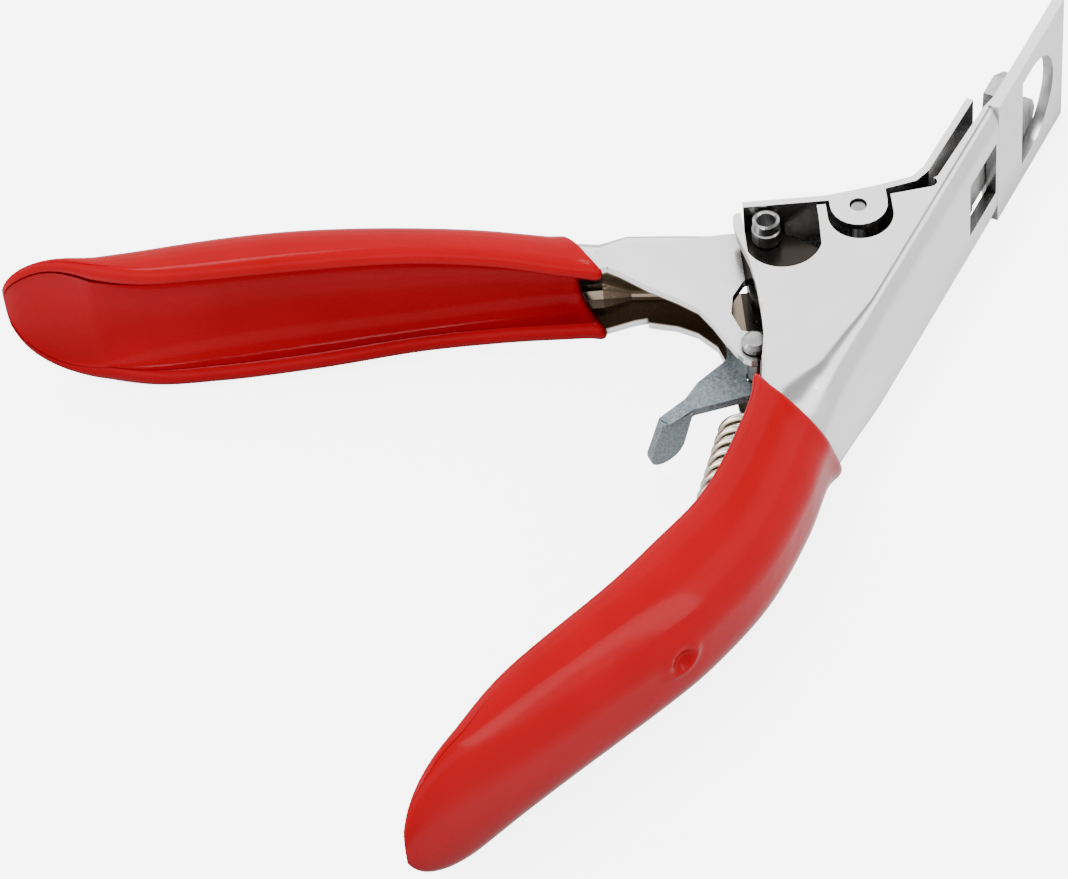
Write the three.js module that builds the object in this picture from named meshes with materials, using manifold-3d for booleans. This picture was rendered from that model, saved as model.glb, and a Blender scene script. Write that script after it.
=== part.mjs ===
// Guillotine nail clipper, lying on its side.
// Millimetres, +Z up. The tool's own plane is XY: its channels are open to one side and their width runs along Z.
import * as THREE from "three";
import { mergeVertices } from "three/addons/utils/BufferGeometryUtils.js";
import Module from "manifold-3d";

const wasm = await Module();
wasm.setup();

// ---------- driving dimensions ----------
const NOSE_ANGLE = THREE.MathUtils.degToRad(58); // direction of the straight spine and of the blade's travel
const FRAME_HALF = 10.3; // half the width across the frame's cheeks
const NOSE_HALF = 10.5; // half the width of the flat nose
const GRIP_HALF = 11.1; // half the width across the dipped handles
const SHEET = 1.4; // thickness of the folded steel
const SKIN = 0.6; // thickness of the vinyl on each face of the steel
const GAP = 0.2; // clearance between touching pieces
const SPINE_FACE = 9.7; // distance of the spine's outer face from the tool's datum line
const NOSE_END = 42.5; // distance of the nose's end along the spine
const LEVER_HALF = 6.3; // half the width across the lever at its pivot
const LEVER_WALL = 1.2; // thickness of the lever's steel
const COVER_THICKNESS = 0.9; // thickness of the cover strip and its tabs
const BLADE_THICKNESS = 1.5;
const BLADE_TOP = SPINE_FACE - SHEET - GAP; // the blade slides under the nose's inner face
const CARRIER_THICKNESS = 1.2;
const PIVOT = [-11.7, -1.0]; // centre of the tubular pivot rivet
const PIVOT_RADIUS = 1.7;
const DRIVE = [-1.0, -9.94]; // centre of the drive pin with the tool open
const DRIVE_RADIUS = 1.2;
const LATCH_PIVOT = [-15.2, -18.4]; // centre of the latch's rivet
const LATCH_PIN_RADIUS = 1.1;
const CROSS_PIN = [-0.1, -0.6]; // centre of the pin through the cover's tabs
const SPRING_TOP = [-17.9, -26.5];
const SPRING_FOOT = [-25.6, -48.2];
const SPRING_RADIUS = 3.5; // to the middle of the wire
const WIRE_RADIUS = 0.65;
const SPRING_TURNS = 9;

// ---------- materials ----------
const finish = (color, roughness, metalness) => new THREE.MeshStandardMaterial({ color, roughness, metalness });
const NICKEL = finish(0xe2e2e6, 0.28, 1);
const ZINC = finish(0x9aa3a8, 0.5, 0.9);
const DARK_STEEL = finish(0x8a8886, 0.35, 1);
const RAW_STEEL = finish(0xb9b9bc, 0.45, 1);
const VINYL = finish(0xd01018, 0.25, 0);
const SPRING_STEEL = finish(0xe6ddcc, 0.3, 1);

// ---------- small tools ----------
const alongSpine = new THREE.Vector2(Math.cos(NOSE_ANGLE), Math.sin(NOSE_ANGLE));
const outOfSpine = new THREE.Vector2(Math.sin(NOSE_ANGLE), -Math.cos(NOSE_ANGLE));

// A point given by its distance along the spine and its distance out from the datum line.
function onSpine(along, out) {
  return [
    alongSpine.x * along + outOfSpine.x * out,
    alongSpine.y * along + outOfSpine.y * out,
  ];
}

function solid(geometry) {
  const bare = geometry.clone();
  bare.deleteAttribute("normal");
  bare.deleteAttribute("uv");
  const merged = mergeVertices(bare, 1e-4);
  return new wasm.Manifold(new wasm.Mesh({
    numProp: 3,
    vertProperties: new Float32Array(merged.attributes.position.array),
    triVerts: new Uint32Array(merged.index.array),
  }));
}

function geometryOf(body) {
  const mesh = body.getMesh();
  const geometry = new THREE.BufferGeometry();
  geometry.setAttribute("position", new THREE.BufferAttribute(new Float32Array(mesh.vertProperties), 3));
  geometry.setIndex(new THREE.BufferAttribute(new Uint32Array(mesh.triVerts), 1));
  geometry.computeVertexNormals();
  return geometry;
}

function join(...bodies) {
  return bodies.reduce((sum, body) => sum.add(body));
}

function outline(points) {
  return new THREE.Shape(points.map(([x, y]) => new THREE.Vector2(x, y)));
}

// Points of an arc about a centre, from one angle to another in degrees.
function arc(centre, radius, from, to, steps = 6) {
  return Array.from({ length: steps + 1 }, (_, i) => {
    const angle = THREE.MathUtils.degToRad(from + ((to - from) * i) / steps);
    return [centre[0] + radius * Math.cos(angle), centre[1] + radius * Math.sin(angle)];
  });
}

// A flat plate with its outline in XY, between two heights.
function plate(points, low, high) {
  const geometry = new THREE.ExtrudeGeometry(outline(points), { depth: high - low, bevelEnabled: false });
  return solid(geometry.translate(0, 0, low));
}

// A plate parallel to the spine: its outline runs along the spine and across the width.
function spinePlate(points, inner, outer) {
  const geometry = new THREE.ExtrudeGeometry(outline(points), { depth: outer - inner, bevelEnabled: false });
  geometry.translate(0, 0, inner);
  geometry.applyMatrix4(new THREE.Matrix4().makeBasis(
    new THREE.Vector3(alongSpine.x, alongSpine.y, 0),
    new THREE.Vector3(0, 0, 1),
    new THREE.Vector3(outOfSpine.x, outOfSpine.y, 0),
  ));
  return solid(geometry);
}

// A turned piece along Z from [radius, height] steps, closed on its own axis.
function turned(centre, steps, sides = 24) {
  const profile = steps.map(([radius, height]) => new THREE.Vector2(radius, height));
  const geometry = new THREE.LatheGeometry(profile, sides);
  geometry.rotateX(Math.PI / 2);
  geometry.scale(1, 1, -1);
  geometry.index.array.reverse();
  return solid(geometry.translate(centre[0], centre[1], 0));
}

function pin(centre, radius, low, high, sides = 24) {
  return turned(centre, [[0, low], [radius, low], [radius, high], [0, high]], sides);
}

// Skins rings of equal length into one closed body.
function loft(rings) {
  const count = rings[0].length;
  const index = [];
  for (let ring = 0; ring + 1 < rings.length; ring += 1) {
    for (let k = 0; k < count; k += 1) {
      const a = ring * count + k;
      const b = ring * count + ((k + 1) % count);
      index.push(a, b, b + count, a, b + count, a + count);
    }
  }
  const section = rings[0].map((point) => point.flat);
  const turn = Math.sign(THREE.ShapeUtils.area(section));
  const last = (rings.length - 1) * count;
  for (const face of THREE.ShapeUtils.triangulateShape(section, [])) {
    const same = Math.sign(THREE.ShapeUtils.area(face.map((k) => section[k]))) === turn;
    const [a, b, c] = same ? face : [...face].reverse();
    index.push(c, b, a);
    index.push(last + a, last + b, last + c);
  }
  const geometry = new THREE.BufferGeometry();
  const positions = rings.flat().flatMap((point) => point.place);
  geometry.setAttribute("position", new THREE.Float32BufferAttribute(positions, 3));
  geometry.setIndex(index);
  const body = solid(geometry);
  if (body.volume() > 0) return body;
  geometry.index.array.reverse(); // the rings ran the other way round
  return solid(geometry);
}

const CORNER_STEPS = 4;

// One U section of a folded channel, from its spine point to its lip point.
function channelRing({ spine, lip, half, corner, wall }) {
  const depth = Math.hypot(lip[0] - spine[0], lip[1] - spine[1]);
  const inward = [(lip[0] - spine[0]) / depth, (lip[1] - spine[1]) / depth];
  const side = (reach, floor, radius) => [
    [reach, depth],
    ...Array.from({ length: CORNER_STEPS + 1 }, (_, i) => {
      const angle = (Math.PI / 2) * (i / CORNER_STEPS);
      return [reach - radius + radius * Math.cos(angle), floor + radius - radius * Math.sin(angle)];
    }),
  ];
  const whole = (reach, floor, radius) => {
    const right = side(reach, floor, radius);
    return [...right, ...right.map(([z, d]) => [-z, d]).reverse()];
  };
  const outer = whole(half, 0, Math.min(corner, half * 0.9, depth * 0.8));
  const innerRadius = Math.max(0.3, Math.min(corner - wall, (half - wall) * 0.9, (depth - wall) * 0.7));
  const inner = whole(half - wall, wall, innerRadius).reverse();
  return [...outer, ...inner].map(([z, d]) => ({
    flat: new THREE.Vector2(z, d),
    place: [spine[0] + inward[0] * d, spine[1] + inward[1] * d, z],
  }));
}

// Smooth run of stations through paired spine and lip points.
function channelRun(pairs, steps, shapeAt) {
  const spine = new THREE.SplineCurve(pairs.map(([point]) => new THREE.Vector2(...point)));
  const lip = new THREE.SplineCurve(pairs.map(([, point]) => new THREE.Vector2(...point)));
  return Array.from({ length: steps + 1 }, (_, i) => {
    const s = spine.getPoint(i / steps).toArray();
    const l = lip.getPoint(i / steps).toArray();
    return { spine: s, lip: l, ...shapeAt(s, l) };
  });
}

// The same station moved in by a distance on the spine, the cheeks and the lip.
function inset(station, distance, wall) {
  const { spine, lip, half, corner } = station;
  const depth = Math.hypot(lip[0] - spine[0], lip[1] - spine[1]);
  const inward = [(lip[0] - spine[0]) / depth, (lip[1] - spine[1]) / depth];
  return {
    spine: [spine[0] + inward[0] * distance, spine[1] + inward[1] * distance],
    lip: [lip[0] - inward[0] * distance, lip[1] - inward[1] * distance],
    half: half - distance,
    corner: Math.max(0.4, corner - distance),
    wall,
  };
}

const channel = (stations) => loft(stations.map(channelRing));

// ---------- fixed handle ----------
const frameGripPairs = [
  [[-1.2, -21.6], [-15.0, -13.3]],
  [onSpine(-30, SPINE_FACE + SKIN + GAP), [-16.2, -26.4]],
  [[-11.3, -40.5], [-19.7, -35.4]],
  [[-16.8, -49.5], [-24.5, -43.6]],
  [[-23.6, -56.9], [-30.7, -50.0]],
  [[-30.3, -62.3], [-37.0, -55.9]],
  [[-43.6, -71.6], [-49.8, -66.6]],
  [[-54.2, -78.6], [-57.3, -75.6]],
  [[-60.2, -82.1], [-61.3, -80.1]],
  [[-62.9, -83.4], [-62.8, -81.9]],
];
const FRAME_TIP = [-63.3, -83.2];

// Half the width of a handle that ends in a round tip.
function roundedHalf(half, distanceToTip) {
  const short = Math.max(0, half - distanceToTip);
  return Math.max(3, Math.sqrt(half * half - short * short));
}

const depthOf = ({ spine, lip }) => Math.hypot(lip[0] - spine[0], lip[1] - spine[1]);

function gripShape(spine, lip, half) {
  const depth = depthOf({ spine, lip });
  return { half, corner: Math.min(9, depth * 0.62, half * 0.75), wall: Math.min(SHEET + 2 * (SKIN + GAP), depth * 0.6) };
}

const frameGripRun = channelRun(frameGripPairs, 20, (spine, lip) => {
  const distance = Math.hypot(spine[0] - FRAME_TIP[0], spine[1] - FRAME_TIP[1]);
  return gripShape(spine, lip, roundedHalf(GRIP_HALF, distance));
});

// The vinyl sleeve, hollow where the steel runs inside it.
function sleeve(run) {
  const pocket = run.filter((station) => depthOf(station) > 5.2);
  return channel(run).subtract(channel(pocket.map((station) => inset(station, SKIN, SHEET + 2 * GAP))));
}

const steelInside = (run) => run
  .filter((station) => depthOf(station) > 6.4)
  .map((station) => inset(station, SKIN + GAP, SHEET));

// Keeps the part of a body that lies on the side of a plane its normal points to.
function keepBeyond(body, point, normal) {
  const size = 200;
  const block = new THREE.BoxGeometry(size, size, size).translate(0, 0, size / 2);
  const turn = new THREE.Quaternion().setFromUnitVectors(new THREE.Vector3(0, 0, 1), normal.clone().normalize());
  block.applyQuaternion(turn);
  return body.intersect(solid(block.translate(...point)));
}

// The dip line on the fixed handle leans, because the tool was dipped at an angle.
const dipNormal = new THREE.Vector3(
  -(alongSpine.x + 0.37 * outOfSpine.x),
  -(alongSpine.y + 0.37 * outOfSpine.y),
  -0.404,
);
const frameGrip = keepBeyond(sleeve(frameGripRun), [...onSpine(-26.2, 0), 0], dipNormal);

// ---------- frame ----------
function straightStation(along, reach, corner) {
  return {
    spine: onSpine(along, SPINE_FACE),
    lip: onSpine(along, SPINE_FACE - reach),
    half: FRAME_HALF,
    corner,
    wall: SHEET,
  };
}

const frameSteel = channel([
  straightStation(23.2, 24, 1.8),
  straightStation(-2, 24, 2.2),
  straightStation(-10, 24, 3.0),
  straightStation(-16, 22, 4.2),
  ...steelInside(frameGripRun),
]);

// Outline of the folded part: cheeks with their two notches, then the whole handle.
const frameOutline = [
  onSpine(23.2, 12),
  onSpine(-24, 14),
  [0, -110],
  [-90, -110],
  [-90, -60],
  [-24, -26.5],
  [-16.6, -26.5],
  [-14.7, -22.9],
  [-14.1, -17],
  [-14.5, -8],
  [-15.6, -3.4],
  [-15.8, -0.8],
  [-15.3, 0.2],
  [-14.7, 0.2],
  [-14.6, -2.4],
  ...arc([-10, -4.7], 4.9, 200, 340, 8),
  [-5.2, -2],
  [-5.2, 0.1],
  [-4.1, 0.1],
  ...arc([0, -2.2], 4.1, 180, 360, 10),
  [4.1, 0.6],
  [9.9, 1.2],
  onSpine(7.8, 7.3),
  onSpine(21, 7.8),
  onSpine(23.2, 8.2),
];
const nosePlate = spinePlate([[21.4, -NOSE_HALF], [NOSE_END, -NOSE_HALF], [NOSE_END, NOSE_HALF], [21.4, NOSE_HALF]],
  SPINE_FACE - SHEET, SPINE_FACE);
const nailHole = spinePlate([
  [29.2, -7.5],
  ...arc([31.8, 0], 7.5, -90, 90, 14),
  [29.2, 7.5],
], SPINE_FACE - 3, SPINE_FACE + 2);
const window = spinePlate([
  [12.5, -4.6],
  [20.8, -4.6],
  [20.8, 4.6],
  [12.5, 4.6],
], SPINE_FACE - 3, SPINE_FACE + 2);
const mainFrame = frameSteel
  .intersect(plate(frameOutline, -20, 20))
  .add(nosePlate)
  .subtract(nailHole)
  .subtract(window);

// ---------- cover strip with its tabs and the pivot's ears ----------
const coverPath = [
  [-14.3, 1.95],
  [-3.9, 1.55],
  [2.5, 2.3],
  [7.2, 3.2],
  onSpine(8.6, 5.0),
  onSpine(21.6, 5.2),
];
const coverUnderside = [
  onSpine(21.6, 6.1),
  onSpine(8.2, 5.9),
  [7.6, 2.35],
  [2.6, 1.4],
  [-3.9, 0.65],
  [-14.3, 1.05],
];
const tabOutline = [
  [-3.6, 1.2],
  ...arc([0, -0.4], 3.6, 180, 360, 12),
  [3.6, 2.2],
  [2.5, 1.9],
];
const earOutline = [
  [-14.2, 1.5],
  ...arc(PIVOT, 2.5, 180, 360, 10),
  [-9.2, 1.4],
];
const EAR_FACE = LEVER_HALF - LEVER_WALL - 0.3;
const PIVOT_SHAFT = 1.25;
const coverCutter = join(
  pin(PIVOT, PIVOT_SHAFT + GAP, -8, 8),
  pin(CROSS_PIN, 1.1, -12, 12),
);
const coverStrip = join(
  plate([...coverPath, ...coverUnderside], -FRAME_HALF, FRAME_HALF),
  plate(tabOutline, FRAME_HALF - COVER_THICKNESS, FRAME_HALF),
  plate(tabOutline, -FRAME_HALF, -FRAME_HALF + COVER_THICKNESS),
  plate(earOutline, EAR_FACE - LEVER_WALL, EAR_FACE),
  plate(earOutline, -EAR_FACE, -EAR_FACE + LEVER_WALL),
).subtract(coverCutter);
const crossPin = pin(CROSS_PIN, 0.9, -9.9, 9.9, 16);

const RIVET_END = 10.0;
const pivotHalf = [
  [0, 7.2],
  [1.15, 7.2],
  [1.15, RIVET_END - 0.3],
  [1.35, RIVET_END],
  [PIVOT_RADIUS, RIVET_END - 0.2],
  [PIVOT_RADIUS, 8.5],
  [PIVOT_RADIUS + 0.15, 8.3],
  [PIVOT_RADIUS + 0.15, LEVER_HALF + GAP],
  [PIVOT_SHAFT, LEVER_HALF + GAP],
];
const pivotRivet = turned(PIVOT, [
  ...pivotHalf.map(([radius, height]) => [radius, -height]),
  ...[...pivotHalf].reverse(),
], 28);

// ---------- moving handle ----------
const leverGripPairs = [
  [[-30, 3.9], [-30, -4.2]],
  [[-37, 4.8], [-37.5, -2.8]],
  [[-47, 6.3], [-46, -1.1]],
  [[-57, 7.2], [-57, 0.0]],
  [[-70, 7.8], [-70, -0.1]],
  [[-82, 7.6], [-82, -0.1]],
  [[-94, 6.8], [-91, 0.6]],
  [[-102, 6.6], [-100.6, 3.9]],
  [[-106.8, 7.5], [-106.0, 5.7]],
  [[-108.3, 8.0], [-107.8, 6.7]],
];
const LEVER_TIP = -108.8;
const leverGripRun = channelRun(leverGripPairs, 20, (spine, lip) => {
  const half = Math.min(GRIP_HALF, LEVER_HALF + SKIN + GAP + 0.125 * (-34 - spine[0]));
  return gripShape(spine, lip, roundedHalf(Math.max(half, LEVER_HALF + SKIN + GAP), spine[0] - LEVER_TIP));
});
const leverGrip = keepBeyond(sleeve(leverGripRun), [-34.6, 0, 0], new THREE.Vector3(-1, -0.53, 0));

const leverFront = [[-16.2, 1.3, -1.4], [-23, 2.4, -1.6], [-29, 3.2, -2.0]].map(([x, top, bottom]) => ({
  spine: [x, top],
  lip: [x, bottom],
  half: LEVER_HALF,
  corner: 2.2,
  wall: LEVER_WALL,
}));
const leverSteel = channel([
  ...leverFront,
  ...steelInside(leverGripRun).filter(({ spine }) => spine[0] < -31).map((station) => ({ ...station, wall: LEVER_WALL })),
]);

const armOutline = [
  [-16.5, 0.5],
  [-13.6, 0.5],
  ...arc(PIVOT, 1.95, 100, 40, 3),
  ...arc(DRIVE, 2.1, 40, -125, 8),
  [-12.6, -6.6],
  [-15.4, -7.6],
];
const nearWall = [
  ...armOutline,
  [-17.0, -9.9],
  [-17.5, -12.7],
  [-16.6, -15.6],
  ...arc(LATCH_PIVOT, 2.4, 100, -160, 10),
  [-18.7, -16.7],
  [-19.9, -14],
  [-21.4, -11.3],
  [-23.7, -9.3],
  [-27.1, -6.8],
  [-30.5, -3.8],
  [-33.0, -2.0],
  [-33.0, 0.4],
];
const farWall = [
  ...armOutline,
  [-16.4, -15.6],
  ...arc(LATCH_PIVOT, 2.4, 60, -170, 9),
  [-17.9, -12],
  [-19.1, -7.9],
  [-21.3, -5.3],
  [-23.7, -3.8],
  [-27.3, -2.6],
  [-27.3, 0.4],
];
const leverCutter = join(
  pin(PIVOT, PIVOT_SHAFT + GAP, -8, 8),
  pin(DRIVE, DRIVE_RADIUS + GAP, -8, 8),
  pin(LATCH_PIVOT, LATCH_PIN_RADIUS + GAP, -8, 8),
);
const leverChannel = join(
  leverSteel,
  plate(nearWall, LEVER_HALF - LEVER_WALL, LEVER_HALF),
  plate(farWall, -LEVER_HALF, -LEVER_HALF + LEVER_WALL),
).subtract(leverCutter);
const drivePin = pin(DRIVE, DRIVE_RADIUS, -7, 7);

// ---------- blade and its carrier ----------
const BLADE_HALF = 9.9; // half the width of the cutting head
const STRIP_HALF = 4.0; // half the width of the strip that the window shows
const BLADE_FOOT = BLADE_TOP - BLADE_THICKNESS;
const bladeEdge = [
  [27.0, BLADE_HALF],
  [30.2, 7.6],
  [31.9, 3.9],
  [32.6, 0.6],
  [34.2, -1.3],
  [36.4, -2.8],
  [37.2, -4.8],
  [36.4, -7.2],
  [34.6, -BLADE_HALF],
];
const RIVET_SPOTS = [[-3.2, 5.6], [-3.2, -5.6]]; // along the spine, across the width
const BLADE_RIVET_RADIUS = 1.0;
const rivetHoles = join(...RIVET_SPOTS.map(([along, across]) => spinePlate(
  arc([along, across], BLADE_RIVET_RADIUS + GAP, 0, 345, 23),
  0,
  SPINE_FACE,
)));
const bladeOutline = [
  [-8, 7.8],
  [-8, -7.8],
  [2, -7.8],
  [6, -STRIP_HALF],
  [22.8, -STRIP_HALF],
  [23.6, -BLADE_HALF],
  ...[...bladeEdge].reverse(),
  [23.6, BLADE_HALF],
  [22.8, STRIP_HALF],
  [6, STRIP_HALF],
  [2, 7.8],
];
const blade = spinePlate(bladeOutline, BLADE_FOOT, BLADE_TOP)
  .subtract(rivetHoles);

const driveAlong = DRIVE[0] * alongSpine.x + DRIVE[1] * alongSpine.y;
const driveOut = DRIVE[0] * outOfSpine.x + DRIVE[1] * outOfSpine.y;
const CARRIER_TOP = BLADE_FOOT - GAP;
const carrierEar = [
  onSpine(driveAlong - 3, CARRIER_TOP - 0.5),
  onSpine(driveAlong - 2.6, driveOut - 2.4),
  onSpine(driveAlong + 2.6, driveOut - 2.4),
  onSpine(driveAlong + 4, CARRIER_TOP - 0.5),
];
const driveSlot = [ // the pin swings on an arc, so its hole is a short slot across the spine
  ...arc(onSpine(driveAlong, driveOut + 0.2), DRIVE_RADIUS + GAP, -122, 58, 8),
  ...arc(onSpine(driveAlong, driveOut - 0.25), DRIVE_RADIUS + GAP, 58, 238, 8),
];
const EAR_OUTER = 3.3;
const carrier = join(
  spinePlate([[-12, -3.3], [-6, -3.3], [-6, -7.6], [-0.4, -7.6], [-0.4, 7.6], [-6, 7.6], [-6, 3.3], [-12, 3.3]],
    CARRIER_TOP - CARRIER_THICKNESS, CARRIER_TOP),
  plate(carrierEar, EAR_OUTER - CARRIER_THICKNESS, EAR_OUTER),
  plate(carrierEar, -EAR_OUTER, -EAR_OUTER + CARRIER_THICKNESS),
).subtract(plate(driveSlot, -6, 6)).subtract(rivetHoles);

const bladeRivet = ([along, across]) => join(
  spinePlate(arc([along, across], BLADE_RIVET_RADIUS, 0, 345, 23), CARRIER_TOP - CARRIER_THICKNESS - 0.5, BLADE_TOP),
  spinePlate(arc([along, across], 1.7, 0, 345, 23), CARRIER_TOP - CARRIER_THICKNESS - 0.9,
    CARRIER_TOP - CARRIER_THICKNESS - GAP),
);

// ---------- latch ----------
const LATCH_HALF = 0.6;
const PADDLE_LENGTH = 8;
const latchOutline = [
  [-16.0, -14.6],
  [-16.9, -11.5],
  [-17.2, -8.6],
  [-18.6, -8.2],
  [-19.2, -9.2],
  [-18.6, -10.6],
  [-18.2, -12.6],
  [-18.6, -15.2],
  [-22.5, -18.3],
  [-24.3, -20.7],
  [-27.9, -23.4],
  [-26.6, -24.6],
  [-23.4, -22.6],
  [-16.2, -21.3],
  ...arc(LATCH_PIVOT, 2.4, -70, 90, 8),
];
// The thumb paddle hangs from the plate's end: its outline runs across the bend and down.
const paddleOutline = [
  [0, -0.4],
  [4.2, -0.4],
  [4.4, PADDLE_LENGTH - 2.4],
  ...arc([2.1, PADDLE_LENGTH - 2.3], 2.2, 0, 180, 8),
];
const acrossPaddle = new THREE.Vector3(0.93, 0.36, 0).normalize();
const downPaddle = new THREE.Vector3(-0.26, 0, -0.96).normalize();
const paddleNormal = new THREE.Vector3().crossVectors(acrossPaddle, downPaddle).normalize();
const paddleGeometry = new THREE.ExtrudeGeometry(outline(paddleOutline), { depth: 2 * LATCH_HALF, bevelEnabled: false });
paddleGeometry.translate(0, 0, -LATCH_HALF);
paddleGeometry.applyMatrix4(new THREE.Matrix4().makeBasis(acrossPaddle, downPaddle, paddleNormal));
paddleGeometry.translate(-27.8, -24.0, 0);
const latch = plate(latchOutline, -LATCH_HALF, LATCH_HALF)
  .add(solid(paddleGeometry))
  .subtract(pin(LATCH_PIVOT, LATCH_PIN_RADIUS + GAP, -2, 2));
const latchRivetHalf = [
  [0, 7.7],
  [1.2, 7.6],
  [1.7, 7.2],
  [1.7, LEVER_HALF + GAP],
  [LATCH_PIN_RADIUS, LEVER_HALF + GAP],
];
const latchRivet = turned(LATCH_PIVOT, [
  ...latchRivetHalf.map(([radius, height]) => [radius, -height]),
  ...[...latchRivetHalf].reverse(),
]);

// ---------- return spring and its seat ----------
const springAxis = new THREE.Vector3(SPRING_FOOT[0] - SPRING_TOP[0], SPRING_FOOT[1] - SPRING_TOP[1], 0);
const springLength = springAxis.length();
springAxis.normalize();
const springSide = new THREE.Vector3(-springAxis.y, springAxis.x, 0);

class Helix extends THREE.Curve {
  getPoint(t) {
    const angle = t * SPRING_TURNS * Math.PI * 2;
    return new THREE.Vector3(SPRING_TOP[0], SPRING_TOP[1], 0)
      .addScaledVector(springAxis, t * springLength)
      .addScaledVector(springSide, SPRING_RADIUS * Math.cos(angle))
      .add(new THREE.Vector3(0, 0, SPRING_RADIUS * Math.sin(angle)));
  }
}

const wireSection = outline(arc([0, 0], WIRE_RADIUS, 0, 300, 5));
const springWire = new THREE.ExtrudeGeometry(wireSection, {
  steps: SPRING_TURNS * 14,
  bevelEnabled: false,
  extrudePath: new Helix(),
});

const SEAT_DEPTH = 4.2; // how far the seat reaches below the spring's foot
const seatGeometry = new THREE.LatheGeometry([
  [0, -SEAT_DEPTH],
  [2.4, -SEAT_DEPTH],
  [2.6, -1.0],
  [4.0, -0.95],
  [4.0, -GAP - WIRE_RADIUS],
  [2.5, -GAP - WIRE_RADIUS],
  [2.3, 3.2],
  [1.5, 4.2],
  [0, 4.2],
].map(([radius, height]) => new THREE.Vector2(radius, height)), 20);
seatGeometry.applyQuaternion(new THREE.Quaternion().setFromUnitVectors(
  new THREE.Vector3(0, 1, 0),
  springAxis.clone().negate(),
));
seatGeometry.translate(SPRING_FOOT[0], SPRING_FOOT[1], 0);

// ---------- the assembly ----------
const part = new THREE.Group();

function add(name, geometry, material) {
  const mesh = new THREE.Mesh(geometry, material);
  mesh.name = name;
  part.add(mesh);
}

add("main_frame", geometryOf(mainFrame), NICKEL);
add("frame_grip", geometryOf(frameGrip), VINYL);
add("cover_strip", geometryOf(coverStrip), NICKEL);
add("cross_pin", geometryOf(crossPin), DARK_STEEL);
add("pivot_rivet", geometryOf(pivotRivet), DARK_STEEL);
add("lever_channel", geometryOf(leverChannel), NICKEL);
add("lever_grip", geometryOf(leverGrip), VINYL);
add("drive_pin", geometryOf(drivePin), DARK_STEEL);
add("cutter_blade", geometryOf(blade), RAW_STEEL);
add("blade_carrier", geometryOf(carrier), RAW_STEEL);
RIVET_SPOTS.forEach((spot, i) => add(`blade_rivet_${i + 1}`, geometryOf(bladeRivet(spot)), DARK_STEEL));
add("latch", geometryOf(latch), ZINC);
add("latch_rivet", geometryOf(latchRivet), NICKEL);
add("return_spring", springWire, SPRING_STEEL);
add("spring_seat", seatGeometry, ZINC);

// The origin is under the middle of the tool, on the surface that it lies on.
const box = new THREE.Box3().setFromObject(part);
const middle = box.getCenter(new THREE.Vector3());
part.position.set(-middle.x, -middle.y, -box.min.z);

export default part;
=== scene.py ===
import bmesh
import bpy
import math
import numpy as np
from mathutils import Matrix, Vector


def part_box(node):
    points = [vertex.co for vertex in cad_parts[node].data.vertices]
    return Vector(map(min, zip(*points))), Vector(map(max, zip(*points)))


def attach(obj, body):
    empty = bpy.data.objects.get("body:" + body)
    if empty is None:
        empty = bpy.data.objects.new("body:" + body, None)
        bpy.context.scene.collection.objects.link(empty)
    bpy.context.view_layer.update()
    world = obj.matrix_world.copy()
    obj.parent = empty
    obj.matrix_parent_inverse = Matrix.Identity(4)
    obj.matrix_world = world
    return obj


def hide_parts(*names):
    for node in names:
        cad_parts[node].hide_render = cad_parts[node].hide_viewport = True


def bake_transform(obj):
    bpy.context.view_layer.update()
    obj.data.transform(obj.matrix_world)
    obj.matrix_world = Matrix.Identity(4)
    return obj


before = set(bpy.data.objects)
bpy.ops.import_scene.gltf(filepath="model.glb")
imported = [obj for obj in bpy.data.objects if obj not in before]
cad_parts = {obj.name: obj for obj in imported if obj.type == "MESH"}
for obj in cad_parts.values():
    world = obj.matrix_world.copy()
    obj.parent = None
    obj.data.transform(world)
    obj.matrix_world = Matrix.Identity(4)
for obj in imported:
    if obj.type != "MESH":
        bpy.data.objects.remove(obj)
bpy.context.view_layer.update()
MM = 0.001

# ---------- where the tool's own datum lies in the row frame ----------
PIVOT = np.array([-11.7, -1.0, 0.0])  # the pivot rivet's centre, in millimetres from the datum
rivet_low, rivet_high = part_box("pivot_rivet")
DATUM = np.array((rivet_low + rivet_high) / 2) - PIVOT * MM

NOSE_ANGLE = math.radians(58)
ALONG = np.array([math.cos(NOSE_ANGLE), math.sin(NOSE_ANGLE), 0.0])
OUT = np.array([math.sin(NOSE_ANGLE), -math.cos(NOSE_ANGLE), 0.0])
GRIP_HALF = 11.1
LEVER_HALF = 6.3
SKIN = 0.8
GRIP_WALL = 3.0


def place(x, y, z=0.0):
    """A point in millimetres from the datum, in the row frame in metres."""
    return DATUM + np.array([x, y, z]) * MM


# ---------- camera ----------
def make_camera():
    elevation = math.radians(50)
    roll = math.radians(-6.3)
    forward = Vector((0, math.cos(elevation), -math.sin(elevation)))
    side = Vector((1, 0, 0))
    top = Vector((0, math.sin(elevation), math.cos(elevation)))
    right = side * math.cos(roll) + top * math.sin(roll)
    up = top * math.cos(roll) - side * math.sin(roll)
    data = bpy.data.cameras.new("camera")
    data.lens = 150
    data.sensor_width = 36
    data.clip_start = 0.01
    camera = bpy.data.objects.new("camera", data)
    bpy.context.collection.objects.link(camera)
    turn = Matrix((right, up, -forward)).transposed().to_4x4()
    camera.matrix_world = Matrix.Translation(Vector(place(-43.36, -375.0, 418.2))) @ turn
    bpy.context.scene.camera = camera


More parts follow.
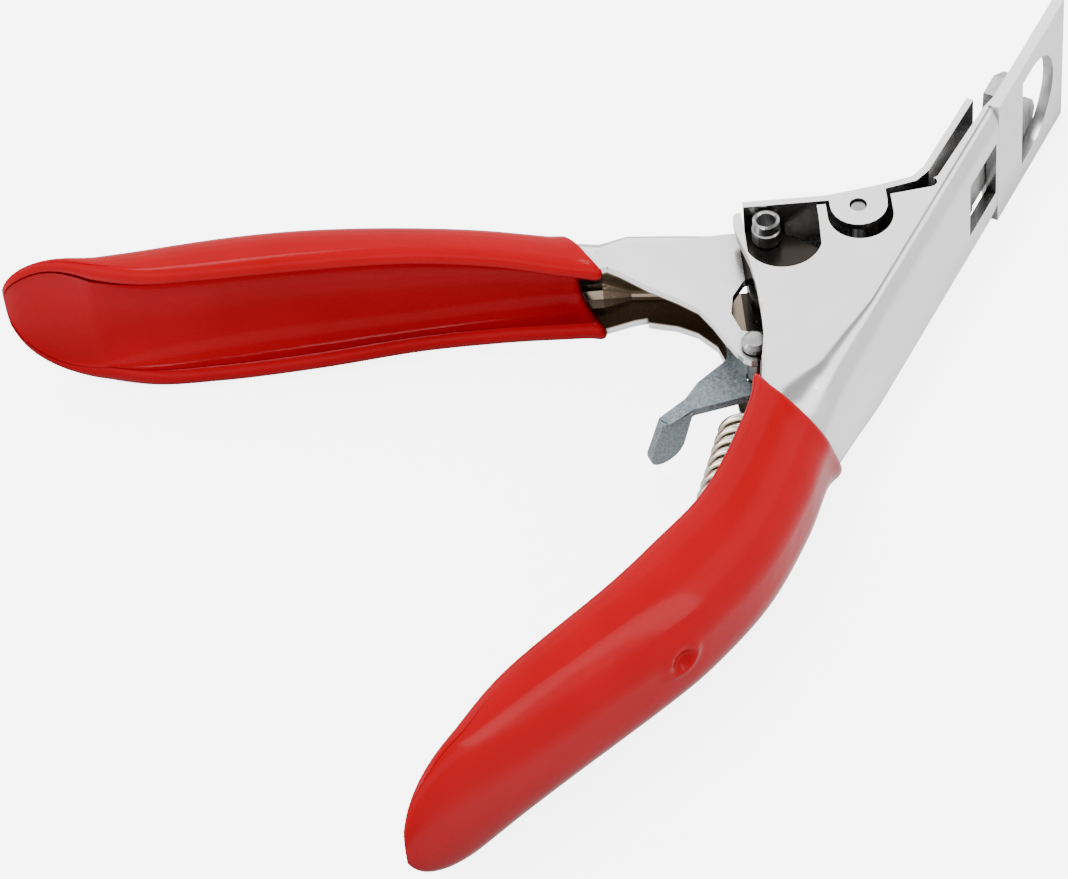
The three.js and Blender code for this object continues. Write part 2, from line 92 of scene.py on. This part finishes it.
# ---------- light and floor ----------
def make_stage():
    bpy.ops.mesh.primitive_plane_add(size=6, location=(0, 0, -0.0002))
    floor = bpy.context.object
    floor.name = "floor"
    paper = bpy.data.materials.new("floor_paper")
    paper.use_nodes = True
    shader = paper.node_tree.nodes["Principled BSDF"]
    shader.inputs["Base Color"].default_value = (0.93, 0.93, 0.93, 1)
    shader.inputs["Roughness"].default_value = 0.9
    shader.inputs["Specular IOR Level"].default_value = 0.0
    shader.inputs["Emission Color"].default_value = (1, 1, 1, 1)
    shader.inputs["Emission Strength"].default_value = 5.0
    floor.data.materials.append(paper)
    floor.visible_glossy = False
    floor.visible_diffuse = False


def add_area_light(name, place_at, look_at, size, power):
    data = bpy.data.lights.new(name, "AREA")
    data.shape = "RECTANGLE"
    data.size, data.size_y = size
    data.energy = power
    light = bpy.data.objects.new(name, data)
    light.location = place_at
    direction = Vector(look_at) - Vector(place_at)
    light.rotation_euler = direction.to_track_quat("-Z", "Y").to_euler()
    bpy.context.collection.objects.link(light)


def make_lights():
    world = bpy.data.worlds.new("studio")
    bpy.context.scene.world = world
    world.use_nodes = True
    tree = world.node_tree
    direction = tree.nodes.new("ShaderNodeTexCoord").outputs["Generated"]
    height = tree.nodes.new("ShaderNodeSeparateXYZ")
    tree.links.new(direction, height.inputs[0])
    shift = tree.nodes.new("ShaderNodeMapRange")
    shift.inputs["From Min"].default_value = -1
    tree.links.new(height.outputs["Z"], shift.inputs["Value"])
    bands = tree.nodes.new("ShaderNodeValToRGB")
    stops = [
        (0.0, 0.5), (0.10, 2.0), (0.20, 1.3), (0.32, 1.4), (0.46, 1.3),
        (0.51, 1.1), (0.58, 3.0), (0.76, 2.6), (0.83, 0.55), (1.0, 0.6),
    ]
    while len(bands.color_ramp.elements) < len(stops):
        bands.color_ramp.elements.new(0.5)
    for element, (position, value) in zip(bands.color_ramp.elements, stops):
        element.position = position
        element.color = (value, value, value, 1)
    tree.links.new(shift.outputs["Result"], bands.inputs["Fac"])
    tree.links.new(bands.outputs["Color"], tree.nodes["Background"].inputs["Color"])
    tree.nodes["Background"].inputs["Strength"].default_value = 1.0
    add_area_light("back_panel", (0.05, 0.52, 0.62), (0, 0, 0), (0.62, 0.5), 1.9)
    add_area_light("overhead", (-0.1, 0.05, 0.8), (0, 0, 0), (0.5, 0.12), 4)
    add_area_light("left_strip", (-0.7, -0.05, 0.35), (0, 0, 0), (0.12, 0.9), 3)
    add_area_light("right_strip", (0.65, -0.35, 0.3), (0, 0, 0), (0.12, 0.7), 2.5)


# ---------- node helpers ----------
class Nodes:
    """Builds one procedural material, node by node."""

    def __init__(self, name):
        self.material = bpy.data.materials.new(name)
        self.material.use_nodes = True
        self.tree = self.material.node_tree
        self.shader = self.tree.nodes["Principled BSDF"]
        self.where = self.tree.nodes.new("ShaderNodeTexCoord").outputs["Object"]

    def set(self, **values):
        for socket, value in values.items():
            self.shader.inputs[socket.replace("_", " ")].default_value = value

    def stretched(self, scale):
        mapping = self.tree.nodes.new("ShaderNodeMapping")
        mapping.inputs["Scale"].default_value = scale
        self.tree.links.new(self.where, mapping.inputs["Vector"])
        return mapping.outputs["Vector"]

    def noise(self, scale, detail=3.0, roughness=0.5, vector=None):
        node = self.tree.nodes.new("ShaderNodeTexNoise")
        node.inputs["Scale"].default_value = scale
        node.inputs["Detail"].default_value = detail
        node.inputs["Roughness"].default_value = roughness
        self.tree.links.new(vector or self.where, node.inputs["Vector"])
        return node.outputs["Fac"]

    def cells(self, scale):
        node = self.tree.nodes.new("ShaderNodeTexVoronoi")
        node.inputs["Scale"].default_value = scale
        self.tree.links.new(self.where, node.inputs["Vector"])
        return node.outputs["Distance"]

    def ramp(self, source, *stops):
        node = self.tree.nodes.new("ShaderNodeValToRGB")
        ramp = node.color_ramp
        while len(ramp.elements) < len(stops):
            ramp.elements.new(0.5)
        for element, (position, colour) in zip(ramp.elements, stops):
            element.position = position
            element.color = colour if len(colour) == 4 else (*colour, 1)
        self.tree.links.new(source, node.inputs["Fac"])
        return node.outputs["Color"]

    def bump(self, height, strength, distance, below=None):
        node = self.tree.nodes.new("ShaderNodeBump")
        node.inputs["Strength"].default_value = strength
        node.inputs["Distance"].default_value = distance
        self.tree.links.new(height, node.inputs["Height"])
        if below is not None:
            self.tree.links.new(below, node.inputs["Normal"])
        return node.outputs["Normal"]

    def hollows(self, reach):
        """Falls from 1 in the open to 0 deep inside a hollow."""
        node = self.tree.nodes.new("ShaderNodeAmbientOcclusion")
        node.samples = 8
        node.inputs["Distance"].default_value = reach
        return node.outputs["AO"]

    def with_painted_shade(self, colour, shade):
        # Multiplies a colour by a painted shade.
        node = self.tree.nodes.new("ShaderNodeMix")
        node.data_type = "RGBA"
        node.blend_type = "MULTIPLY"
        node.inputs["Factor"].default_value = 1.0
        self.tree.links.new(colour, node.inputs["A"])
        self.tree.links.new(shade, node.inputs["B"])
        return node.outputs["Result"]

    def wire(self, output, socket):
        self.tree.links.new(output, self.shader.inputs[socket])


def grey(value):
    return (value, value, value)


# ---------- materials ----------
def red_vinyl():
    make = Nodes("red_vinyl")
    make.set(Roughness=0.22, Coat_Weight=0.05, Coat_Roughness=0.08, Specular_IOR_Level=0.07, IOR=1.3)
    cloud = make.noise(55, 2)
    tint = make.ramp(cloud, (0.3, (0.31, 0.0, 0.004)), (0.7, (0.37, 0.0, 0.006)))
    # Painted shade: the red darkens deep in hollows, such as inside the lever's channel.
    depth = make.ramp(make.hollows(0.03), (0.25, grey(0.35)), (0.95, grey(1.0)))
    make.wire(make.with_painted_shade(tint, depth), "Base Color")
    peel = make.bump(make.noise(420, 2), 0.10, 0.0004)
    specks = make.ramp(make.cells(260), (0.035, grey(1)), (0.075, grey(0)))
    make.wire(make.bump(specks, 0.10, 0.0002, peel), "Normal")
    return make.material


def nickel(name, dark=0.74, light=0.86, rough=(0.16, 0.3)):
    make = Nodes(name)
    make.set(Metallic=1.0)
    cloud = make.noise(70, 4, 0.6)
    plate = make.ramp(cloud, (0.3, grey(dark)), (0.7, grey(light)))
    # Painted shade: the plate darkens to near black deep in hollows and channels.
    painted_hollow_shade = make.ramp(make.hollows(0.012), (0.22, (0.045, 0.036, 0.030)), (0.82, grey(1.0)))
    make.wire(make.with_painted_shade(plate, painted_hollow_shade), "Base Color")
    wear = make.noise(180, 5, 0.65, make.stretched((1, 1, 3)))
    make.wire(make.ramp(wear, (0.3, grey(rough[0])), (0.75, grey(rough[1]))), "Roughness")
    waves = make.bump(make.noise(38, 2), 0.12, 0.0008)
    pits = make.ramp(make.cells(330), (0.05, grey(0)), (0.11, grey(1)))
    make.wire(make.bump(pits, 0.12, 0.0002, waves), "Normal")
    return make.material


LEVER_INSIDE = 5.3  # half the width, in millimetres, within which a face is inside the lever's channel
LEVER_COVERED = -15.2  # x, in millimetres from the datum, past which the frame shades the lever


def lever_nickel():
    """Nickel plate outside, with painted shade: dark brown inside the channel, and near black where the frame
    covers the lever.
    """
    material = nickel("lever_nickel", 0.74, 0.87, (0.16, 0.32))
    tree = material.node_tree
    shader = tree.nodes["Principled BSDF"]
    coordinates = tree.nodes.new("ShaderNodeTexCoord")

    def part(output, axis):
        split = tree.nodes.new("ShaderNodeSeparateXYZ")
        tree.links.new(coordinates.outputs[output], split.inputs[0])
        return split.outputs[axis]

    def maths(operation, first, second):
        node = tree.nodes.new("ShaderNodeMath")
        node.operation = operation
        for socket, value in zip(node.inputs, (first, second)):
            if isinstance(value, float):
                socket.default_value = value
            else:
                tree.links.new(value, socket)
        return node.outputs[0]

    between_walls = maths("COMPARE", part("Object", "Z"), float(DATUM[2]))
    between_walls.node.inputs[2].default_value = LEVER_INSIDE * MM
    not_spine_top = maths("LESS_THAN", part("Normal", "Y"), 0.3)
    inside = maths("MULTIPLY", between_walls, not_spine_top)
    # Painted shade: faces inside the channel turn dark brown.
    painted_inside_shade = tree.nodes.new("ShaderNodeMix")
    painted_inside_shade.data_type = "RGBA"
    plated = shader.inputs["Base Color"].links[0].from_socket
    tree.links.new(inside, painted_inside_shade.inputs["Factor"])
    tree.links.new(plated, painted_inside_shade.inputs["A"])
    painted_inside_shade.inputs["B"].default_value = (0.20, 0.16, 0.12, 1)
    # Painted shade: faces past the frame's edge, where it covers the lever, turn near black.
    covered = maths("GREATER_THAN", part("Object", "X"), float(DATUM[0]) + LEVER_COVERED * MM)
    shade = tree.nodes.new("ShaderNodeMix")
    shade.data_type = "RGBA"
    tree.links.new(covered, shade.inputs["Factor"])
    tree.links.new(painted_inside_shade.outputs["Result"], shade.inputs["A"])
    shade.inputs["B"].default_value = (0.030, 0.025, 0.022, 1)
    tree.links.new(shade.outputs["Result"], shader.inputs["Base Color"])
    return material


def zinc():
    make = Nodes("zinc_plate")
    make.set(Metallic=0.85)
    grain = make.noise(3200, 3, 0.7)
    make.wire(make.ramp(grain, (0.35, (0.10, 0.125, 0.14)), (0.68, (0.30, 0.35, 0.37))), "Base Color")
    make.wire(make.ramp(grain, (0.3, grey(0.35)), (0.7, grey(0.6))), "Roughness")
    make.wire(make.bump(grain, 0.25, 0.0002), "Normal")
    return make.material


def dark_steel():
    make = Nodes("dark_steel")
    make.set(Metallic=1.0)
    cloud = make.noise(300, 4, 0.6)
    make.wire(make.ramp(cloud, (0.3, grey(0.20)), (0.7, grey(0.42))), "Base Color")
    make.wire(make.ramp(cloud, (0.3, grey(0.22)), (0.7, grey(0.4))), "Roughness")
    make.wire(make.bump(cloud, 0.15, 0.0002), "Normal")
    return make.material


def blade_steel():
    make = Nodes("blade_steel")
    make.set(Metallic=1.0)
    tear = make.noise(520, 6, 0.8, make.stretched((1, 1, 0.35)))
    make.wire(make.ramp(tear, (0.3, grey(0.30)), (0.7, grey(0.66))), "Base Color")
    make.wire(make.ramp(tear, (0.3, grey(0.28)), (0.7, grey(0.5))), "Roughness")
    make.wire(make.bump(tear, 0.35, 0.0003), "Normal")
    return make.material


def spring_wire():
    make = Nodes("spring_wire")
    make.set(Metallic=1.0, Roughness=0.24)
    drawn = make.noise(700, 3)
    wire = make.ramp(drawn, (0.3, (0.60, 0.53, 0.42)), (0.7, (0.82, 0.74, 0.62)))
    # Painted shade: the wire darkens to near black in the gaps between the turns.
    painted_gap_shade = make.ramp(make.hollows(0.003), (0.35, (0.10, 0.07, 0.05)), (0.8, grey(1.0)))
    make.wire(make.with_painted_shade(wire, painted_gap_shade), "Base Color")
    make.wire(make.bump(drawn, 0.08, 0.0001), "Normal")
    return make.material


# ---------- mesh helpers ----------
def face_outwards(mesh):
    """Turns a closed mesh right side out."""
    shape = bmesh.new()
    shape.from_mesh(mesh)
    if shape.calc_volume(signed=True) < 0:
        bmesh.ops.reverse_faces(shape, faces=shape.faces)
    shape.to_mesh(mesh)
    shape.free()
    mesh.update()


def mesh_piece(name, points, faces, material, body, smooth_angle=40):
    mesh = bpy.data.meshes.new(name)
    mesh.from_pydata([tuple(p) for p in points], [], faces)
    mesh.validate()
    face_outwards(mesh)
    mesh.materials.append(material)
    mesh.polygons.foreach_set("use_smooth", [True] * len(mesh.polygons))
    mesh.set_sharp_from_angle(angle=math.radians(smooth_angle))
    piece = bpy.data.objects.new(name, mesh)
    bpy.context.collection.objects.link(piece)
    if body is not None:
        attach(piece, body)
    return piece


def spline(points, t):
    """A point of the uniform Catmull-Rom curve through points, with t from 0 to 1."""
    points = np.asarray(points, float)
    last = len(points) - 1
    step = min(int(t * last), last - 1)
    part = t * last - step
    p0 = points[max(step - 1, 0)]
    p1 = points[step]
    p2 = points[step + 1]
    p3 = points[min(step + 2, last)]
    v0 = (p2 - p0) / 2
    v1 = (p3 - p1) / 2
    return (
        (2 * p1 - 2 * p2 + v0 + v1) * part**3
        + (-3 * p1 + 3 * p2 - 2 * v0 - v1) * part**2
        + v0 * part
        + p1
    )


def band(rings):
    """Faces that skin equal rings into one closed body, with both ends capped."""
    count = len(rings[0])
    faces = []
    for ring in range(len(rings) - 1):
        for k in range(count):
            a = ring * count + k
            b = ring * count + (k + 1) % count
            faces.append((a, b, b + count, a + count))
    last = (len(rings) - 1) * count
    half = count // 2
    for k in range(half - 1):
        faces.append((k + 1, k, count - 1 - k, count - 2 - k))
        faces.append((last + k, last + k + 1, last + count - 2 - k, last + count - 1 - k))
    return faces


# ---------- dipped grips ----------
DIP_REACH = 0.45  # share of the handle's curve that is searched for the dip line
DIP_SAMPLES = 60
DIP_EDGE = [  # share of the way to the tip, and how far the vinyl swells there
    (0.0, -0.62), (0.0012, -0.25), (0.003, -0.02), (0.006, 0.08),
    (0.010, 0.12), (0.015, 0.10), (0.021, 0.06), (0.028, 0.02),
]


def grip_section(depth, half, corner, wall, puff, inner_scale=1.0):
    """One U section in (width, depth) from the outer lip round the spine and back inside.

    corner holds how far the bend reaches across the spine and down the cheek. puff swells the skin, and
    inner_scale makes the bend inside wider than the one outside.
    """
    steps = 12
    wall = min(wall, depth * 0.6, half * 0.6)
    inner_corner = (
        max(0.3, min(corner[0] * inner_scale - wall * 0.8, (half - wall) * 0.9)),
        max(0.3, min(corner[1] * inner_scale - wall * 0.8, (depth - wall) * 0.8)),
    )
    lip = wall / 2

    def side(reach, floor, radius):
        turn = np.linspace(0, math.pi / 2, steps)
        wide, deep = radius
        straight = [(reach, d) for d in np.linspace(depth - lip, floor + deep, 6)[:-1]]
        bend = [(reach - wide + wide * math.cos(a), floor + deep - deep * math.sin(a)) for a in turn]
        return straight + bend

    def across(path):
        flat = [(z, path[-1][1]) for z in np.linspace(path[-1][0], -path[-1][0], 24)[1:-1]]
        return path + flat + [(-z, d) for z, d in reversed(path)]

    outer = across(side(half + puff, -puff, corner))
    inner = across(side(half - wall - puff, wall + puff, inner_corner))
    round_lip = [
        (half - lip + (lip + puff) * math.cos(a), depth - lip + (lip + puff) * math.sin(a))
        for a in np.linspace(0, math.pi, 9)[1:-1]
    ]
    right_lip = round_lip
    left_lip = [(-z, d) for z, d in round_lip]
    middle = len(right_lip) // 2
    return right_lip[:middle + 1][::-1] + outer + left_lip + inner[::-1] + right_lip[middle + 1:][::-1]


def rounded_half(half, distance):
    short = max(0.0, half - distance)
    return math.sqrt(max(half * half - short * short, 0.16))


def make_grip(name, pairs, half_at, corner_at, tip, dip_value, material, body, node, inner_scale, dimple=None):
    """A dipped handle, from its slanted dip line to its round tip.

    pairs holds matching points on the spine and on the lip. dip_value is negative before the dip line.
    """
    spines = [pair[0] for pair in pairs]
    lips = [pair[1] for pair in pairs]
    tip = np.array(tip)

    def ring(t, puff):
        s = spline(spines, t)
        l = spline(lips, t)
        depth = np.linalg.norm(l - s)
        inward = (l - s) / depth
        distance = np.linalg.norm((s + l) / 2 - tip)
        half = rounded_half(half_at(s[0]), distance)
        corner = (min(corner_at(s)[0], half * 0.8), min(corner_at(s)[1], depth * 0.8))
        section = grip_section(depth, half, corner, GRIP_WALL, puff, inner_scale)
        return [np.array([*(s + inward * d), z]) for z, d in section]

    samples = [ring(t, 0) for t in np.linspace(0, DIP_REACH, DIP_SAMPLES)]
    starts = []
    for k in range(len(samples[0])):
        values = [dip_value(sample[k]) for sample in samples]
        crossing = next((i for i, value in enumerate(values) if value > 0), 0)
        if crossing == 0:
            starts.append(0.0)
        else:
            low, high = values[crossing - 1], values[crossing]
            starts.append(DIP_REACH / (DIP_SAMPLES - 1) * (crossing - 1 - low / (high - low)))

    rings = []
    steps = 150
    rows = DIP_EDGE + [(s, 0.0) for s in np.linspace(0.036, 1, steps)]
    for share, puff in rows:
        wide = {}
        points = []
        for k, start in enumerate(starts):
            t = start + share * (1 - start)
            key = round(t, 4)
            if key not in wide:
                wide[key] = ring(key, puff)
            points.append(wide[key][k])
        rings.append(points)
    if dimple is not None:
        centre, radius, sink = dimple
        for points in rings:
            for k, point in enumerate(points):
                away = np.linalg.norm(point - centre)
                if away < radius * 3:
                    bowl = math.exp(-(away / radius) ** 2)
                    rim = 0.35 * math.exp(-((away / radius - 1.7) ** 2) * 5)
                    points[k] = point - DIMPLE_OUT * sink * (bowl - rim)
    flat = [DATUM + p * MM for points in rings for p in points]
    piece = mesh_piece(name, flat, band(rings), material, body, 60)
    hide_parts(node)
    return piece


def on_spine(along, out):
    point = ALONG * along + OUT * out
    return (point[0], point[1])


FRAME_GRIP_PAIRS = [
    ((-1.2, -21.6), (-15.0, -13.3)),
    (on_spine(-30, 10.5), (-16.2, -26.4)),
    ((-11.3, -40.5), (-19.7, -35.4)),
    ((-16.8, -49.5), (-24.5, -43.6)),
    ((-23.6, -56.9), (-30.7, -50.0)),
    ((-30.3, -62.3), (-37.0, -55.9)),
    ((-43.6, -71.6), (-49.8, -66.6)),
    ((-54.2, -78.6), (-57.3, -75.6)),
    ((-60.2, -82.1), (-61.3, -80.1)),
    ((-63.1, -83.5), (-63.0, -82.1)),
]
LEVER_GRIP_PAIRS = [
    ((-30, 3.9), (-30, -4.2)),
    ((-37, 4.8), (-37.5, -2.8)),
    ((-47, 6.3), (-46, -1.1)),
    ((-57, 7.2), (-57, 0.0)),
    ((-70, 7.8), (-70, -0.1)),
    ((-82, 7.6), (-82, -0.1)),
    ((-94, 6.8), (-91, 0.6)),
    ((-102, 6.6), (-100.6, 3.9)),
    ((-106.8, 7.5), (-106.0, 5.7)),
    ((-108.5, 8.1), (-108.1, 7.0)),
]
DIMPLE_OUT = np.array([0.64, -0.77, 0.0])  # out of the fixed grip's back, where the dimple is


def frame_dip(point):
    return -(point @ ALONG) - 0.37 * (point @ OUT) - 0.404 * point[2] - 26.2


def lever_dip(point):
    return -point[0] - 0.53 * point[1] - 34.6


def lever_half(x):
    """Half the lever grip's width, which flares from the steel's width and eases into the full width."""
    ease = 2.0
    flared = LEVER_HALF + SKIN + 0.125 * max(0.0, -34 - x)
    share = min(1.0, max(0.0, 0.5 + 0.5 * (GRIP_HALF - flared) / ease))
    return GRIP_HALF + (flared - GRIP_HALF) * share - ease * share * (1 - share)


def frame_corner(along):
    """How far the steel's bend reaches across the spine and down the cheek: it widens towards the handle."""
    across = float(np.interp(along, [-33, -30, -26, -14, 23], [8.2, 7.0, 5.2, 4.0, 3.4]))
    down = float(np.interp(along, [-33, -30, -26, -14, 23], [8.2, 6.0, 3.4, 1.6, 1.4]))
    return (across, down)


def frame_grip_corner(spine):
    across, down = frame_corner(spine @ ALONG[:2])
    return (across + SKIN, down + SKIN)


def make_grips(material):
    make_grip(
        "frame_grip_dip", FRAME_GRIP_PAIRS, lambda x: GRIP_HALF, frame_grip_corner, (-63.4, -83.0),
        frame_dip, material, "frame", "frame_grip", 1.7,
        dimple=(np.array([-28.3, -62.0, 1.4]), 1.35, 1.1),
    )
    make_grip(
        "lever_grip_dip", LEVER_GRIP_PAIRS, lever_half, lambda s: (5.2, 4.9), (-108.8, 7.7),
        lever_dip, material, "lever", "lever_grip", 3.2,
    )


# ---------- folded steel frame ----------
SPINE_FACE = 9.7
FRAME_HALF = 10.3
SHEET = 1.4
LAP = 0.02  # the nose stands this much proud of the spine, so that the two never share a plane


def arc(centre, radius, start, end, steps):
    angles = np.radians(np.linspace(start, end, steps + 1))
    return [(centre[0] + radius * math.cos(a), centre[1] + radius * math.sin(a)) for a in angles]


def prism(name, outline, low, high, basis=None):
    """A closed extrusion of an outline, along Z or along the third axis of a basis."""
    axes = np.eye(3) if basis is None else np.array(basis)
    count = len(outline)
    points = [DATUM + (np.array([x, y, h]) @ axes) * MM for h in (low, high) for x, y in outline]
    faces = [tuple(reversed(range(count))), tuple(range(count, 2 * count))]
    faces += [(k, (k + 1) % count, count + (k + 1) % count, count + k) for k in range(count)]
    return plain_object(name, points, faces)


def plain_object(name, points, faces):
    mesh = bpy.data.meshes.new(name)
    mesh.from_pydata([tuple(p) for p in points], [], faces)
    shape = bmesh.new()
    shape.from_mesh(mesh)
    bmesh.ops.recalc_face_normals(shape, faces=shape.faces)
    shape.to_mesh(mesh)
    shape.free()
    item = bpy.data.objects.new(name, mesh)
    bpy.context.collection.objects.link(item)
    return item


def combine(base, operation, *tools):
    """Applies boolean tools to a base object and removes them."""
    for tool in tools:
        cut = base.modifiers.new("cut", "BOOLEAN")
        cut.operation = operation
        cut.solver = "EXACT"
        cut.object = tool
    bpy.context.view_layer.update()
    result = bpy.data.meshes.new_from_object(base.evaluated_get(bpy.context.evaluated_depsgraph_get()))
    base.modifiers.clear()
    base.data = result
    for tool in tools:
        bpy.data.objects.remove(tool)
    return base


def steel_ring(spine, lip, half, corner):
    depth = np.linalg.norm(lip - spine)
    inward = (lip - spine) / depth
    bend = (min(corner[0], half * 0.9), min(corner[1], depth * 0.85))
    section = grip_section(depth, half, bend, SHEET, 0)
    return [DATUM + np.array([*(spine + inward * d), z]) * MM for z, d in section]


FRAME_OUTLINE = [
    on_spine(23.2, 12),
    on_spine(-24, 14),
    (0, -110),
    (-90, -110),
    (-90, -60),
    (-24, -26.9),
    (-16.4, -26.9),
    (-15.4, -25.2),
    (-14.7, -22.9),
    (-14.2, -20),
    (-14.1, -17),
    (-14.15, -12.5),
    (-14.5, -8),
    (-15.1, -5.4),
    (-15.7, -3),
    *arc((-15.0, -0.6), 0.8, 180, 90, 4),
    (-14.7, 0.2),
    (-14.6, -2.4),
    *arc((-10, -4.7), 4.9, 200, 340, 24),
    (-5.2, -2),
    (-5.2, 0.1),
    (-4.1, 0.1),
    *arc((0, -2.2), 4.1, 180, 360, 30),
    (4.1, 0.6),
    (9.3, 1.1),
    *arc((9.4, 1.9), 0.75, -80, 60, 6),
    on_spine(7.8, 7.3),
    on_spine(21, 7.8),
    on_spine(23.2, 8.2),
]
SPINE_BASIS = (ALONG, (0, 0, 1), OUT)


def make_frame(material):
    rings = []
    for along in np.linspace(23.2, -17.5, 40):
        spine = np.array(on_spine(along, SPINE_FACE))
        lip = np.array(on_spine(along, SPINE_FACE - 24))
        rings.append(steel_ring(spine, lip, FRAME_HALF, frame_corner(along)))
    spines = [pair[0] for pair in FRAME_GRIP_PAIRS]
    lips = [pair[1] for pair in FRAME_GRIP_PAIRS]
    for t in np.linspace(0.01, 0.5, 50):
        spine, lip = spline(spines, t), spline(lips, t)
        inward = (lip - spine) / np.linalg.norm(lip - spine)
        corner = frame_corner(spine @ ALONG[:2])
        rings.append(steel_ring(spine + inward * SKIN, lip - inward * SKIN, FRAME_HALF, corner))
    points = [p for ring in rings for p in ring]
    frame_piece = plain_object("folded_frame", points, band(rings))
    combine(frame_piece, "INTERSECT", prism("frame_outline", FRAME_OUTLINE, -20, 20))
    nose = prism("nose", [(21.4, -10.5), (42.5, -10.5), (42.5, 10.5), (21.4, 10.5)],
                 SPINE_FACE - SHEET - LAP, SPINE_FACE + LAP, SPINE_BASIS)
    combine(frame_piece, "UNION", nose)
    hole = prism("hole", [(29.2, -7.5), *arc((31.8, 0), 7.5, -90, 90, 40), (29.2, 7.5)], 5, 12, SPINE_BASIS)
    window = prism("window", [(12.5, -4.6), (20.8, -4.6), (20.8, 4.6), (12.5, 4.6)], 5, 12, SPINE_BASIS)
    combine(frame_piece, "DIFFERENCE", hole, window)
    finish_piece(frame_piece, material, 0.22, 30)
    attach(frame_piece, "frame")
    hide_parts("main_frame")


def finish_piece(piece, material, bevel, angle):
    piece.data.materials.clear()
    piece.data.materials.append(material)
    piece.data.polygons.foreach_set("use_smooth", [True] * len(piece.data.polygons))
    piece.data.set_sharp_from_angle(angle=math.radians(angle))
    if bevel:
        edge = piece.modifiers.new("edge", "BEVEL")
        edge.width = bevel * MM
        edge.segments = 2
        edge.limit_method = "ANGLE"
        edge.angle_limit = math.radians(angle)
        edge.harden_normals = True


# ---------- return spring ----------
SPRING_TOP = np.array([-17.0, -26.8, 0.0])
SPRING_FOOT = np.array([-24.9, -48.4, 0.0])


def tube(route, radius, sides):
    """Rings round a route, with a frame carried along it."""
    points = []
    normal = None
    for k, here in enumerate(route):
        before = route[max(k - 1, 0)]
        after = route[min(k + 1, len(route) - 1)]
        heading = (after - before) / np.linalg.norm(after - before)
        guess = np.array([0.3, 0.5, 0.8]) if normal is None else normal
        normal = guess - heading * (guess @ heading)
        normal /= np.linalg.norm(normal)
        across = np.cross(heading, normal)
        for a in np.linspace(0, 2 * math.pi, sides, endpoint=False):
            points.append(DATUM + (here + radius * (normal * math.cos(a) + across * math.sin(a))) * MM)
    return points


def make_spring(material):
    turns, radius, wire, sides = 13, 3.3, 0.62, 12
    axis = SPRING_FOOT - SPRING_TOP
    length = np.linalg.norm(axis)
    axis /= length
    side = np.array([-axis[1], axis[0], 0.0])
    route = []
    for t in np.linspace(0, 1, turns * 36):
        angle = t * turns * 2 * math.pi
        round_axis = side * radius * math.cos(angle) + np.array([0, 0, radius * math.sin(angle)])
        route.append(SPRING_TOP + axis * t * length + round_axis)
    points = tube(route, wire, sides)
    faces = []
    for ring in range(len(route) - 1):
        for k in range(sides):
            a = ring * sides + k
            b = ring * sides + (k + 1) % sides
            faces.append((a, b, b + sides, a + sides))
    faces.append(tuple(reversed(range(sides))))
    faces.append(tuple(range((len(route) - 1) * sides, len(route) * sides)))
    piece = mesh_piece("spring_coil", points, faces, material, None, 50)
    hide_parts("return_spring")
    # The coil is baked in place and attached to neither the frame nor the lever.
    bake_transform(piece)
    return piece


# ---------- CAD nodes that keep their shape ----------
def dress_node(name, material, bevel=0.2, angle=32):
    finish_piece(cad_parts[name], material, bevel, angle)


# ---------- the scene ----------
make_camera()
make_stage()
make_lights()

bright = nickel("nickel_plate")
pins = dark_steel()
raw = blade_steel()
plated = zinc()
make_grips(red_vinyl())

make_frame(bright)
make_spring(spring_wire())
dress_node("cover_strip", bright, 0.12)
dress_node("lever_channel", lever_nickel(), 0.15)
dress_node("latch_rivet", pins, 0.15)
dress_node("pivot_rivet", pins, 0.08)
dress_node("cross_pin", pins, 0.1)
dress_node("drive_pin", pins, 0.1)
dress_node("blade_rivet_1", pins, 0.1)
dress_node("blade_rivet_2", pins, 0.1)
dress_node("cutter_blade", raw, 0.1)
dress_node("blade_carrier", raw, 0.1)
dress_node("latch", plated, 0.12)
dress_node("spring_seat", plated, 0.15)
